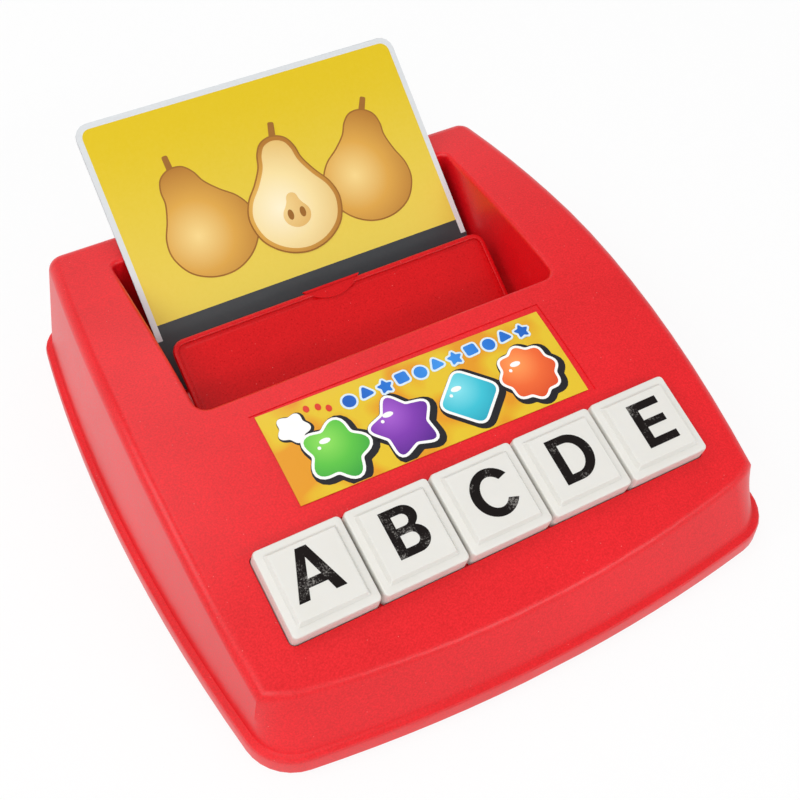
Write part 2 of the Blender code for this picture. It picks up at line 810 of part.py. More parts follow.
def round_slab(top, half, depth, low, high):
    """A slab between two heights, straight along its top edge and round below it."""
    radius = (half**2 + depth**2) / (2 * depth)
    sweep = math.asin(half / radius)
    centre = top + radius - depth
    shape = bmesh.new()
    rim = []
    for k in range(SCOOP_STEPS + 1):
        turn = sweep * (2 * k / SCOOP_STEPS - 1)
        spot = (radius * math.sin(turn), centre - radius * math.cos(turn), low)
        rim.append(shape.verts.new(spot))
    face = shape.faces.new(rim)
    drawn = bmesh.ops.extrude_face_region(shape, geom=[face])["geom"]
    moved = [item for item in drawn if isinstance(item, bmesh.types.BMVert)]
    bmesh.ops.translate(shape, verts=moved, vec=(0.0, 0.0, high - low))
    bmesh.ops.recalc_face_normals(shape, faces=shape.faces)
    return shape


def scoop_shapes():
    """The raised tab at the flap's top edge, and the thumb scoop sunk in it."""
    edge = FLAP_LENGTH + SCOOP_TAB
    half = SCOOP_WIDTH / 2
    root = BARREL_RADIUS - SCOOP_ROOT_SHARE * FLAP_THICKNESS
    deep = SCOOP_DEPTH + 2 * SCOOP_RIDGE
    tab = round_slab(edge, half + SCOOP_RIDGE, deep, root, BARREL_RADIUS - SCOOP_STEP)
    floor = BARREL_RADIUS - SCOOP_SINK
    above = BARREL_RADIUS + CUT_OVERRUN
    return tab, round_slab(edge - SCOOP_RIDGE, half, SCOOP_DEPTH, floor, above)


def barrel():
    """The barrel along the flap's lower edge, with a pin at each end."""
    shape = bmesh.new()
    wall = WELL_WIDTH / 2 - well_inset(HINGE_Z)
    shoulder = wall - BARREL_PLAY
    end = wall + WELL_WALL
    profile = (
        (PIN_RADIUS, -end),
        (PIN_RADIUS, -shoulder),
        (BARREL_RADIUS, -shoulder),
        (BARREL_RADIUS, shoulder),
        (PIN_RADIUS, shoulder),
        (PIN_RADIUS, end),
    )
    turned(shape, profile, PIN_STEPS, Matrix.Rotation(math.pi / 2, 4, "Y"))
    return shape


def make_flap(look):
    """The flap, with its origin on the hinge."""
    plan = Rectangle(FLAP_WIDTH / 2, 0.0, FLAP_LENGTH, FLAP_CORNER, FLAP_CORNER, 1)
    flap = placed("answer_flap", loft(rectangle_rings(plan, flap_levels())), look)
    tab, scoop = scoop_shapes()
    carved(
        flap,
        (("barrel", "UNION", barrel()), ("tab", "UNION", tab), ("scoop", "DIFFERENCE", scoop)),
    )
    flap.matrix_world = flap_frame()
    smooth(flap)


# The tiles


def tile_levels():
    """A tile's side: leaning wall, rounded edge, ledge and the raised plateau's sloping side."""
    top = TILE_HEIGHT
    wall_in = top * TILE_LEAN
    ledge_in = wall_in + PLATEAU_LEDGE
    crown = top + PLATEAU_HEIGHT
    foot, edge, ledge, rim, middle = section(
        (0.0, 0.0),
        (wall_in, top),
        (ledge_in, top),
        (ledge_in + PLATEAU_CHAMFER, crown),
        (TILE_SIZE / 2, crown),
    )
    points = [foot] + rounded(foot, edge, ledge, TILE_EDGE_ROUND, ROUND_STEPS)
    return points + [ledge] + rounded(ledge, rim, middle, PLATEAU_ROUND, ROUND_STEPS)


def hollow_levels():
    """The hollow under a tile."""
    top = TILE_HEIGHT - TILE_WALL
    return section(
        (TILE_WALL - CUT_OVERRUN * TILE_LEAN, -CUT_OVERRUN), (TILE_WALL + top * TILE_LEAN, top)
    )


def tile_ribs(across):
    """One of the two ribs that cross under a tile."""
    shape = bmesh.new()
    half = TILE_SIZE / 2 - TILE_WALL / 2
    sides = (half, TILE_RIB / 2) if across else (TILE_RIB / 2, half)
    top = TILE_HEIGHT - TILE_WALL / 2
    low = TILE_RIB_FOOT
    if across:
        top -= TILE_RIB_STEP
        low += TILE_RIB_STEP
    block(shape, (-sides[0], -sides[1], low), (sides[0], sides[1], top))
    return shape


def make_tiles(look):
    """The row of tiles, each standing in the tray on its own rim."""
    half = TILE_SIZE / 2
    plan = Rectangle(half, -half, half, TILE_CORNER, TILE_CORNER, 1)
    for k in range(TILE_COUNT):
        tile = placed(f"letter_tile_{k + 1}", loft(rectangle_rings(plan, tile_levels())), look)
        hollow = loft(rectangle_rings(plan, hollow_levels()))
        carved(
            tile,
            (
                ("hollow", "DIFFERENCE", hollow),
                ("rib", "UNION", tile_ribs(False)),
                ("rib_across", "UNION", tile_ribs(True)),
            ),
        )
        x = (k - (TILE_COUNT - 1) / 2) * TILE_PITCH
        tile.matrix_world = tray_frame() @ Matrix.Translation((x, 0.0, SEAT_GAP))
        smooth(tile)


# The card and the label


def card_frame():
    """The card's frame: the middle of its foot, at the back, with Y up the card and Z out of it.

    The foot stands against the stop, and the back leans on the round of the well's rear rim.
    """
    foot = Vector((WELL_FRONT + STOP_INSET + STOP_THICKNESS, WELL_FLOOR + SEAT_GAP))
    rim = Vector((WELL_BACK + WELL_RIM_ROUND, crown_height(WELL_BACK + WELL_RIM_ROUND) - WELL_RIM_ROUND))
    foot.x += CARD_THICKNESS + SEAT_GAP
    away = rim - foot
    lean = angle_of(away) + math.asin((WELL_RIM_ROUND + SEAT_GAP) / away.length)
    spot = Matrix.Translation((CARD_OFFSET, foot.x, foot.y))
    return spot @ Matrix.Rotation(lean, 4, "X")


def make_card(look):
    """The picture card, a stiff board with round corners."""
    plan = Rectangle(CARD_WIDTH / 2, 0.0, CARD_LENGTH, CARD_CORNER, CARD_CORNER, 1)
    levels = section((0.0, 0.0), (0.0, CARD_THICKNESS))
    card = placed("picture_card", loft(rectangle_rings(plan, levels)), look)
    card.matrix_world = card_frame()
    smooth(card)


def make_label(look):
    """The title label, a sheet that follows the pocket's floor."""
    low = LABEL_GLUE_GAP - POCKET_DEPTH
    run = LABEL_LENGTH * math.cos(LABEL_TILT)
    shape = crown_slab(
        LABEL_WIDTH, run, (LABEL_OFFSET, LABEL_Y, 0.0), LABEL_SKEW, low, low + LABEL_THICKNESS
    )
    smooth(placed("title_label", shape, look))


def clear_scene():
    for thing in list(bpy.data.objects):
        bpy.data.objects.remove(thing)


clear_scene()
make_stand(material("red_plastic", "E4282D", 0.42))
make_cover(material("cover_plastic", "D6252A", 0.5))
make_screws(material("screw_steel", "B9BBBE", 0.3, 1.0))
make_flap(material("flap_plastic", "E0262B", 0.42))
make_tiles(material("tile_plastic", "EFEFE8", 0.35))
make_card(material("card_board", "EFD24A", 0.5))
make_label(material("label_film", "F4C93C", 0.35))
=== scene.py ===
import math

import bmesh
import bpy
from mathutils import Matrix, Vector, geometry
from mathutils.bvhtree import BVHTree


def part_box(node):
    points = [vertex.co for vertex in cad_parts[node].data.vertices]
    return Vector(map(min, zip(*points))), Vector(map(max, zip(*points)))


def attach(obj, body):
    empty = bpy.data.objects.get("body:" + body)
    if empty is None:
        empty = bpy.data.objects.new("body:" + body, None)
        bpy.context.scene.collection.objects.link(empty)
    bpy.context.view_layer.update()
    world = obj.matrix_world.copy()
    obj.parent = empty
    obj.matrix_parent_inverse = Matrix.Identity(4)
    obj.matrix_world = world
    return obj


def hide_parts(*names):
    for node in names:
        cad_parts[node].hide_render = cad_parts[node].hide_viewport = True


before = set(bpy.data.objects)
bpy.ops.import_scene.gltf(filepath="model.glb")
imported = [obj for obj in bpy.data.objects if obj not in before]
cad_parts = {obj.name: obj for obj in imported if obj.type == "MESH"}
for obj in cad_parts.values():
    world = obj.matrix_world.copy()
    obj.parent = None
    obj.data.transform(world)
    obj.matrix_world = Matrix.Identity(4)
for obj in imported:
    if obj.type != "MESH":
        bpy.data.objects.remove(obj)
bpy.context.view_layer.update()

scene = bpy.context.scene

# Camera
# The game stands on a table and is seen from its front left corner, from well above.
# The view was fitted to the straight edges of the tiles, the label and the well.

camera_place = Vector((-0.1451, -0.24693, 0.3494))
camera_right = Vector((0.8713, -0.4901, 0.0255))
camera_down = Vector((-0.3545, -0.6644, -0.6579))
camera_forward = Vector((0.3394, 0.5642, -0.7526))
frame_width_px = 800
focal_length_px = 1258.35

camera = bpy.data.objects.new("camera", bpy.data.cameras.new("camera"))
scene.collection.objects.link(camera)
turned_to_view = Matrix((camera_right, -camera_down, -camera_forward)).transposed()
camera.matrix_world = Matrix.Translation(camera_place) @ turned_to_view.to_4x4()
camera.data.lens = camera.data.sensor_width * focal_length_px / frame_width_px
camera.data.clip_start = 0.01
camera.data.clip_end = 50.0
scene.camera = camera
scene.view_settings.view_transform = "Standard"


# Studio
# A white paper sweep that curves up all round under a plain even sky. The large softbox stands
# beside the camera, smaller ones to the left, behind and above, and a low strip light in front on
# the right.

sweep_white_share = 0.87
sweep_radius = 4.0
sweep_curve_radius = 1.2
sweep_curve_steps = 12
sweep_height = 2.4
sweep_sink = 0.0001
sweep_turn_steps = 72
sweep_weld = 0.00001
sky_strength = 0.5

# Name, power, width, height and place of each lamp. All of them face the game.
softboxes = (
    ("main_softbox", 13.6, 1.2, 1.2, (-0.85, -1.05, 1.45)),
    ("left_softbox", 5.0, 0.7, 0.7, (-1.15, 0.35, 1.1)),
    ("back_softbox", 3.2, 0.9, 0.9, (0.25, 1.15, 1.55)),
    ("top_softbox", 3.0, 0.7, 0.7, (-0.05, 0.35, 1.9)),
    ("strip_light", 4.6, 0.9, 0.18, (0.6, -1.35, 0.95)),
)


def linear(hex_colour):
    """The linear RGBA colour of an sRGB hex value."""
    shares = [int(hex_colour[k : k + 2], 16) / 255 for k in (0, 2, 4)]
    return [s / 12.92 if s <= 0.04045 else ((s + 0.055) / 1.055) ** 2.4 for s in shares] + [1.0]


def add_node(tree, kind, inputs=None, **settings):
    """One node with its settings, and its inputs as values or as the sockets that feed them."""
    node = tree.nodes.new(kind)
    for name, value in settings.items():
        setattr(node, name, value)
    for name, value in (inputs or {}).items():
        if isinstance(value, bpy.types.NodeSocket):
            tree.links.new(value, node.inputs[name])
        else:
            node.inputs[name].default_value = value
    return node


def computed(tree, operation, *values):
    """The result of one sum on values or sockets."""
    return add_node(
        tree, "ShaderNodeMath", dict(enumerate(values)), operation=operation
    ).outputs[0]


def new_material(name):
    """An empty node material and its tree."""
    made = bpy.data.materials.new(name)
    made.use_nodes = True
    made.node_tree.nodes.clear()
    return made, made.node_tree


def smooth_object(name, shape, material):
    """A smooth object in the scene from a shape that is done with."""
    mesh = bpy.data.meshes.new(name)
    shape.to_mesh(mesh)
    shape.free()
    mesh.shade_smooth()
    mesh.materials.append(material)
    made = bpy.data.objects.new(name, mesh)
    scene.collection.objects.link(made)
    return made


def matt_paper():
    """Matt white paper that bounces light back up, with plain white laid over it where it is
    looked at: by the camera, in a gloss or through glass."""
    made, tree = new_material("sweep_paper")
    paper = add_node(tree, "ShaderNodeBsdfDiffuse", {"Color": linear("F4F4F4")})
    white = add_node(tree, "ShaderNodeEmission", {"Color": linear("FFFFFF"), "Strength": 1.0})
    path = add_node(tree, "ShaderNodeLightPath").outputs
    seen = computed(tree, "MAXIMUM", path["Is Camera Ray"], path["Is Glossy Ray"])
    seen = computed(tree, "MAXIMUM", seen, path["Is Transmission Ray"])
    share = computed(tree, "MULTIPLY", seen, sweep_white_share)
    over = add_node(
        tree, "ShaderNodeMixShader", {0: share, 1: paper.outputs[0], 2: white.outputs[0]}
    )
    add_node(tree, "ShaderNodeOutputMaterial", {"Surface": over.outputs[0]})
    return made


profile = [(0.0, -sweep_sink)]
for k in range(sweep_curve_steps + 1):
    turn = math.radians(90.0) * k / sweep_curve_steps
    reach = sweep_radius - sweep_curve_radius * (1 - math.sin(turn))
    height = sweep_curve_radius * (1 - math.cos(turn)) - sweep_sink
    profile.append((reach, height))
profile.append((sweep_radius, sweep_height))
shape = bmesh.new()
line = [shape.verts.new((reach, 0.0, height)) for reach, height in profile]
edges = [shape.edges.new(pair) for pair in zip(line, line[1:])]
bmesh.ops.spin(
    shape,
    geom=line + edges,
    cent=(0.0, 0.0, 0.0),
    axis=(0.0, 0.0, 1.0),
    angle=math.tau,
    steps=sweep_turn_steps,
    use_duplicate=False,
)
bmesh.ops.remove_doubles(shape, verts=shape.verts, dist=sweep_weld)
bmesh.ops.recalc_face_normals(shape, faces=shape.faces)
sweep = smooth_object("paper_sweep", shape, matt_paper())

sky = bpy.data.worlds.new("even_sky")
scene.world = sky
sky.use_nodes = True
sky.node_tree.nodes["Background"].inputs["Color"].default_value = linear("FFFFFF")
sky.node_tree.nodes["Background"].inputs["Strength"].default_value = sky_strength

for name, power, width, height, place in softboxes:
    lamp = bpy.data.lights.new(name, "AREA")
    lamp.shape = "RECTANGLE"
    lamp.size = width
    lamp.size_y = height
    lamp.energy = power
    softbox = bpy.data.objects.new(name, lamp)
    scene.collection.objects.link(softbox)
    softbox.location = place
    softbox.rotation_euler = (-Vector(place)).to_track_quat("-Z", "Y").to_euler()


# Stand housing
# One injection moulding in red ABS, with a spark-eroded grain that leaves it between satin and
# gloss. It carries the tray, the label's pocket and the deep well, and closes on the base cover.

noise_span = (0.3, 0.7)
grain_mm = 0.6
gloss_spread = (-0.05, 0.07)
cloud_mm = 35.0
mottle_share = 0.45
lint_mm = 3.2
lint_span = (0.03, 0.055)
lint_share = 0.45

weld_distance = 0.0000005
flat_angle = math.radians(0.02)
crease_angle = math.radians(30.0)
normal_weight = 60
strip_reach_share = 0.76
stand_strip_mm = 7.3
stand_edge_radius = 0.00025

corner_start = 0.0785
corner_end = -0.080
corner_top = 0.0247
corner_split = 0.015
corner_heights = (0.0100, 0.0124, 0.0148, 0.0172, 0.0196, 0.0220)
least_facet = 0.000005
least_aside = 0.05
least_upward = 0.1


def noise(tree, place, size_mm, detail, roughness=0.5):
    """Clouds of about one size, from 0 to 1."""
    return add_node(
        tree,
        "ShaderNodeTexNoise",
        {"Vector": place, "Scale": 1000 / size_mm, "Detail": detail, "Roughness": roughness},
    ).outputs["Fac"]


def stretched(tree, value, span, onto, **settings):
    """A value stretched from one span onto another, and held at its ends."""
    return add_node(
        tree,
        "ShaderNodeMapRange",
        {"Value": value, 1: span[0], 2: span[1], 3: onto[0], 4: onto[1]},
        **settings,
    ).outputs[0]


def mixed(tree, share, colour, other_colour):
    """A colour between two, each of them an sRGB hex value or a socket."""
    ends = [linear(end) if isinstance(end, str) else end for end in (colour, other_colour)]
    return add_node(
        tree, "ShaderNodeMix", {0: share, 6: ends[0], 7: ends[1]}, data_type="RGBA"
    ).outputs[2]


def bumped(tree, height, strength, depth_mm):
    """A surface's direction over small bumps."""
    return add_node(
        tree,
        "ShaderNodeBump",
        {"Height": height, "Strength": strength, "Distance": depth_mm / 1000},
    ).outputs[0]


def surfaced(made, colour, roughness, **settings):
    """The material with one surface. Each setting is an input's name, with _ for a space."""
    inputs = {name.replace("_", " "): value for name, value in settings.items()}
    surface = add_node(
        made.node_tree,
        "ShaderNodeBsdfPrincipled",
        {"Base Color": colour, "Roughness": roughness, **inputs},
    )
    add_node(made.node_tree, "ShaderNodeOutputMaterial", {"Surface": surface.outputs[0]})
    return made


def moulded_abs(name, colour, pale_colour, roughness, grain_depth_mm, gleam=0.45):
    """Moulded ABS: an even colour through the plastic, faint clouds from the flow, a fine grain
    that breaks up the glare and the colour, and a few specks of lint. The grain is really finer,
    about 0.1 mm."""
    made, tree = new_material(name)
    place = add_node(tree, "ShaderNodeTexCoord").outputs["Object"]
    cloud = noise(tree, place, cloud_mm, detail=3.0, roughness=0.55)
    grain = noise(tree, place, grain_mm, detail=2.0, roughness=0.6)
    specks = add_node(tree, "ShaderNodeTexVoronoi", {"Vector": place, "Scale": 1000 / lint_mm})
    lint = stretched(tree, specks.outputs["Distance"], lint_span, (lint_share, 0.0))
    mottle = stretched(tree, grain, noise_span, (-mottle_share, mottle_share))
    body = mixed(tree, computed(tree, "ADD", cloud, mottle), colour, pale_colour)
    dusted = mixed(tree, lint, body, "F4A9A4")
    gloss = stretched(tree, grain, noise_span, [roughness + spread for spread in gloss_spread])
    bump = bumped(tree, grain, strength=0.8, depth_mm=grain_depth_mm)
    return surfaced(made, dusted, gloss, Specular_IOR_Level=gleam, Normal=bump)


def cut_square(shape, axis, place, parts=None):
    """A shape, or only some parts of it, cut square to an axis. Gives back what was cut."""
    along = Vector([float(k == axis) for k in range(3)])
    return bmesh.ops.bisect_plane(
        shape,
        geom=parts or shape.verts[:] + shape.edges[:] + shape.faces[:],
        dist=weld_distance,
        plane_co=along * place,
        plane_no=along,
    )["geom"]


def on_corner_wall(face, side):
    """Whether a facet is part of the twisted wall round the front corner on one side."""
    inside = all(
        v.co.x * side > corner_start and v.co.y < corner_end and v.co.z < corner_top
        for v in face.verts
    )
    aside = face.normal.x * side > least_aside and face.normal.y < 0
    leaning = face.normal.z > least_upward
    return inside and aside and leaning and face.calc_area() > least_facet


def even_corners(shape):
    """The twisted walls round the front corners: each facet loses its diagonal and is cut in
    level bands, so that it shades evenly."""
    for side in (-1, 1):
        facets = [face for face in shape.faces if on_corner_wall(face, side)]
        corners = dict.fromkeys(v for face in facets for v in face.verts)
        in_turn = sorted(corners, key=lambda v: (v.co.x * side, v.co.z))
        low = [v for v in in_turn if v.co.z < corner_split]
        high = [v for v in in_turn if v.co.z >= corner_split]
        column = {v: k for row in (low, high) for k, v in enumerate(row)}
        diagonals = [
            edge
            for edge in shape.edges
            if all(v in column for v in edge.verts)
            and (edge.verts[0] in low) != (edge.verts[1] in low)
            and column[edge.verts[0]] != column[edge.verts[1]]
        ]
        bmesh.ops.dissolve_edges(shape, edges=diagonals, use_verts=False)
        wall = [face for face in shape.faces if all(v in column for v in face.verts)]
        cut = wall + list(dict.fromkeys(edge for face in wall for edge in face.edges)) + in_turn
        for height in corner_heights:
            cut = cut_square(shape, 2, height, cut)


def finished(node, name, material, edge_radius=0.0, strip_mm=0.0, mend=None):
    """A smooth piece from a CAD node: its facets joined, its sharp edges broken by a small
    radius, and its wide faces cut in strips from side to side as far as its corners, which keeps
    the shading even."""
    shape = bmesh.new()
    shape.from_mesh(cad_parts[node].data)
    bmesh.ops.remove_doubles(shape, verts=shape.verts, dist=weld_distance)
    bmesh.ops.dissolve_limit(
        shape,
        angle_limit=flat_angle,
        verts=shape.verts,
        edges=shape.edges,
        delimit={"NORMAL"},
    )
    if mend:
        mend(shape)
    if strip_mm:
        reach_mm = max(abs(corner.co.x) for corner in shape.verts) * 1000 * strip_reach_share
        last = int(reach_mm / strip_mm)
        for k in range(-last, last + 1):
            cut_square(shape, 0, k * strip_mm / 1000)
    piece = smooth_object(name, shape, material)
    if edge_radius:
        rounding = piece.modifiers.new("broken_edges", "BEVEL")
        rounding.width = edge_radius
        rounding.segments = 2
        rounding.limit_method = "ANGLE"
        rounding.angle_limit = crease_angle
        rounding.use_clamp_overlap = True
    even = piece.modifiers.new("even_shading", "WEIGHTED_NORMAL")
    even.keep_sharp = True
    even.mode = "FACE_AREA_WITH_ANGLE"
    even.weight = normal_weight
    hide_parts(node)
    return piece


red_abs = moulded_abs(
    "red_moulded_abs", "D20A13", "EE1521", roughness=0.33, grain_depth_mm=0.038
)
stand = finished(
    "stand_housing", "red_stand", red_abs, stand_edge_radius, stand_strip_mm, even_corners
)
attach(stand, "stand")


# Answer flap
# A second, slightly thinner moulding in the same red ABS. Its colour is a darker red than the
# stand's: painted shade from the deep well it sits in. It turns on two pins at its foot and has a
# raised bead, a groove and a thumb scoop.

flap_strip_mm = 11.0
flap_edge_radius = 0.0002

# The flap's red is painted darker than the stand's, as painted shade from the well round it.
flap_abs_shade_painted = moulded_abs(
    "flap_abs_painted_shade", "C2060D", "DB0D15", roughness=0.32, grain_depth_mm=0.03, gleam=0.26
)
flap = finished("answer_flap", "red_flap", flap_abs_shade_painted, flap_edge_radius, flap_strip_mm)
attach(flap, "flap")


# Letter tiles
# Hollow square tiles moulded in white ABS, lifted singly out of the tray. Each has a raised
# plateau with a bold black letter printed on it, which handling has worn.

tile_count = 5
tile_pitch = 0.030
tile_tilt = math.radians(16.5)
tray_middle = Vector((0.0, -0.060117, 0.031385))
tile_gap = 0.0003
tile_top = 0.0100
tile_edge_radius = 0.00035
letter_height = 0.0158
letter_sink = 0.00003
letter_rise = 0.00004


def white_abs():
    """White moulded ABS: very slightly yellow, glossy, with a soft light inside its edges."""
    made, tree = new_material("white_moulded_abs")
    place = add_node(tree, "ShaderNodeTexCoord").outputs["Object"]
    cloud = noise(tree, place, size_mm=12.0, detail=2.0)
    body = mixed(tree, cloud, "DEDCD5", "E3E1DC")
    grain = noise(tree, place, size_mm=0.8, detail=2.0)
    return surfaced(
        made,
        body,
        roughness=0.36,
        Specular_IOR_Level=0.4,
        Subsurface_Weight=0.12,
        Subsurface_Radius=(1.0, 0.85, 0.7),
        Subsurface_Scale=0.0008,
        Normal=bumped(tree, grain, strength=0.35, depth_mm=0.02),
    )


def worn_ink():
    """Pad-printed black ink: nearly matt, rubbed grey in flecks about 0.6 mm across, which lie
    closer in some places than in others."""
    made, tree = new_material("worn_black_ink")
    place = add_node(tree, "ShaderNodeTexCoord").outputs["Object"]
    rubbed = noise(tree, place, size_mm=6.0, detail=2.0)
    flecks = noise(tree, place, size_mm=0.6, detail=3.0, roughness=0.7)
    worn = computed(tree, "MULTIPLY", rubbed, flecks)
    wear = stretched(tree, worn, span=(0.31, 0.42), onto=(0.0, 0.6))
    colour = mixed(tree, wear, "140E0D", "A39F9A")
    return surfaced(made, colour, roughness=0.6, Specular_IOR_Level=0.12)


def bow(centre, reach, start, end, steps=14):
    """Points along an arc, with a reach across and a reach up."""
    turns = [math.radians(start + (end - start) * k / steps) for k in range(steps + 1)]
    return [
        (centre[0] + reach[0] * math.cos(turn), centre[1] + reach[1] * math.sin(turn))
        for turn in turns
    ]


def print_piece(name, outlines, spot, material, low, high, cell=0.0):
    """A thin solid of ink. The first outline is filled, and the rest are left out of it. It is
    laid by spot(across, up, rise), cut in cells where it has to follow a curved face."""
    loops = [[Vector((x, y, 0.0)) for x, y in outline] for outline in outlines]
    flat = [point for loop in loops for point in loop]
    shape = bmesh.new()
    corners = [shape.verts.new(point) for point in flat]
    for triangle in geometry.tessellate_polygon(loops):
        shape.faces.new([corners[k] for k in triangle])
    for axis in (0, 1) if cell else ():
        values = [point[axis] for point in flat]
        for k in range(math.ceil(min(values) / cell), math.floor(max(values) / cell) + 1):
            cut_square(shape, axis, k * cell)
    shape.normal_update()
    bmesh.ops.reverse_faces(shape, faces=[face for face in shape.faces if face.normal.z < 0])
    # The walls are laid one by one: Blender's own extrusion lays them in an order that changes
    # from run to run.
    under = shape.faces[:]
    rims = [edge.link_loops[0] for edge in shape.edges if edge.is_boundary]
    above = {corner: shape.verts.new(corner.co) for corner in shape.verts[:]}
    for face in under:
        shape.faces.new([above[corner] for corner in face.verts])
    for rim in rims:
        start, end = rim.vert, rim.link_loop_next.vert
        shape.faces.new((start, end, above[end], above[start]))
    bmesh.ops.reverse_faces(shape, faces=under)
    for corner, upper in above.items():
        across, up = corner.co.xy
        corner.co = spot(across, up, low)
        upper.co = spot(across, up, high)
    piece = smooth_object(name, shape, material)
    piece.data.set_sharp_from_angle(angle=crease_angle)
    return piece


def on_plateau(number, width, shift_mm):
    """What lays a letter on its tile: a function of shares of the letter's height."""
    foot = tray_middle + Vector(((number - 0.5 - tile_count / 2) * tile_pitch, 0.0, 0.0))
    tile_place = Matrix.Translation(foot) @ Matrix.Rotation(tile_tilt, 4, "X")

    def spot(across, up, rise):
        x = (across - width / 2) * letter_height + shift_mm[0] / 1000
        y = (up - 0.5) * letter_height + shift_mm[1] / 1000
        return tile_place @ Vector((x, y, tile_gap + tile_top + rise))

    return spot


# Each letter's width, its shift on the tile in millimetres, its outline and the holes in it. The
# widths and outlines are shares of the letter's height.
letters = (
    (
        "A",
        0.98,
        (-1.1, 1.7),
        [
            [(0.0, 0.0), (0.225, 0.0), (0.295, 0.215), (0.685, 0.215), (0.755, 0.0), (0.98, 0.0)]
            + [(0.605, 1.0), (0.375, 1.0)],
            [(0.352, 0.385), (0.628, 0.385), (0.49, 0.79)],
        ],
    ),
    (
        "B",
        0.76,
        (0.3, 1.2),
        [
            [(0.0, 0.0)]
            + bow((0.44, 0.285), (0.32, 0.285), -90, 62)
            + bow((0.42, 0.75), (0.29, 0.25), -52, 90)
            + [(0.0, 1.0)],
            [(0.2, 0.165)] + bow((0.41, 0.30), (0.135, 0.135), -90, 90, 8) + [(0.2, 0.435)],
            [(0.2, 0.59)] + bow((0.39, 0.713), (0.122, 0.123), -90, 90, 8) + [(0.2, 0.836)],
        ],
    ),
    (
        "C",
        0.92,
        (0.4, 0.7),
        [
            bow((0.49, 0.5), (0.49, 0.515), 32, 328, 30)
            + bow((0.49, 0.5), (0.27, 0.335), 322, 38, 24),
        ],
    ),
    (
        "D",
        0.86,
        (0.5, 0.8),
        [
            [(0.0, 0.0)] + bow((0.37, 0.5), (0.49, 0.5), -90, 90, 18) + [(0.0, 1.0)],
            [(0.205, 0.17)] + bow((0.36, 0.5), (0.285, 0.33), -90, 90, 14) + [(0.205, 0.83)],
        ],
    ),
    (
        "E",
        0.74,
        (1.3, 0.6),
        [
            [(0.0, 0.0), (0.74, 0.0), (0.74, 0.17), (0.205, 0.17), (0.205, 0.43), (0.68, 0.43)]
            + [(0.68, 0.595), (0.205, 0.595), (0.205, 0.83), (0.72, 0.83), (0.72, 1.0)]
            + [(0.0, 1.0)],
        ],
    ),
)

white_plastic = white_abs()
black_ink = worn_ink()
for number, (letter, width, shift_mm, outlines) in enumerate(letters, 1):
    body = f"tile_{number}"
    tile = finished(
        f"letter_tile_{number}", f"white_tile_{number}", white_plastic, tile_edge_radius
    )
    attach(tile, body)
    spot = on_plateau(number, width, shift_mm)
    ink = print_piece(f"letter_{letter}", outlines, spot, black_ink, -letter_sink, letter_rise)
    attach(ink, body)


# Title label
# A printed film sticker in a shallow pocket, with sharp corners and a clear gloss over the print.
# Yellow and orange patches lie under a row of bubble shapes and a row of small blue ones. Its
# sizes are in millimetres across and up the label.

label_shift = -0.0004
label_skew = Matrix.Rotation(math.radians(-1.0), 2)
label_run_share = math.cos(math.radians(11.0))
label_reach_mm = (52.3, 16.8)
label_cell_mm = 2.0
print_layer = 0.00003
print_roughness = 0.3
print_gleam = 0.35
longest_round_share = 0.48
shadow_fall = (0.6, -0.7)

low_corner, high_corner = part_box("title_label")
label_centre = Vector((label_shift, (low_corner.y + high_corner.y) / 2))
label_face = BVHTree.FromObject(
    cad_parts["title_label"], bpy.context.evaluated_depsgraph_get()
)


def on_label(across, up, rise):
    """A place on the label, from millimetres across and up it, kept inside its edges."""
    across = max(-label_reach_mm[0], min(label_reach_mm[0], across))
    up = max(-label_reach_mm[1], min(label_reach_mm[1], up))
    spot = label_skew @ Vector((across, up * label_run_share)) / 1000
    above = Vector((label_centre.x + spot.x, label_centre.y + spot.y, 1.0))
    hit = label_face.ray_cast(above, Vector((0.0, 0.0, -1.0)))[0]
    return hit + Vector((0.0, 0.0, rise))


def graded(tree, share, stops):
    """A colour that runs through sRGB hex colours, each at its own share."""
    ramp = add_node(tree, "ShaderNodeValToRGB", {"Fac": share})
    elements = ramp.color_ramp.elements
    while len(elements) < len(stops):
        elements.new(0.5)
    for element, (position, colour) in zip(elements, stops):
        element.position = position
        element.color = linear(colour)
    return ramp.outputs["Color"]


def gloss_film():
    """Printed polyester film: clear gloss over yellow ink, with orange patches about 15 mm
    across."""
    made, tree = new_material("printed_gloss_film")
    place = add_node(tree, "ShaderNodeTexCoord").outputs["Object"]
    stops = ((0.41, "E29820"), (0.47, "E2AC24"), (0.55, "E3C02C"))
    colour = graded(tree, noise(tree, place, size_mm=15.0, detail=0.6), stops)
    return surfaced(made, colour, print_roughness, Specular_IOR_Level=print_gleam)


def printed_ink(name, colours, middle=None, reach_mm=8.0, roughness=print_roughness):
    """Ink under clear gloss. Its colours follow each other outward from a middle, or lie in
    faint clouds."""
    made, tree = new_material(name)
    place = add_node(tree, "ShaderNodeTexCoord").outputs["Object"]
    if middle:
        away = add_node(tree, "ShaderNodeVectorMath", {0: place, 1: middle}, operation="DISTANCE")
        share = stretched(tree, away.outputs["Value"], (0.0, reach_mm / 1000), (0.0, 1.0))
    else:
        share = noise(tree, place, reach_mm, detail=3.0)
    stops = [(k / (len(colours) - 1), colour) for k, colour in enumerate(colours)]
    colour = graded(tree, share, stops)
    return surfaced(made, colour, roughness, Specular_IOR_Level=print_gleam)


def area_of(points):
    """The area of an outline, below zero where it runs clockwise."""
    return sum(a[0] * b[1] - b[0] * a[1] for a, b in zip(points, points[1:] + points[:1])) / 2


def grown(points, margin):
    """The outline moved outward by a margin."""
    count = len(points)
    side = 1.0 if area_of(points) > 0 else -1.0
    wider = []
    for k in range(count):
        before, here, after = (Vector(points[(k + s) % count]) for s in (-1, 0, 1))
        into = (here - before).normalized()
        out = (after - here).normalized()
        normal = Vector((into.y + out.y, -into.x - out.x)) * side
        share = max(normal.length_squared / 2, 0.5)
        wider.append(tuple(here + normal * (margin / share)))
    return wider


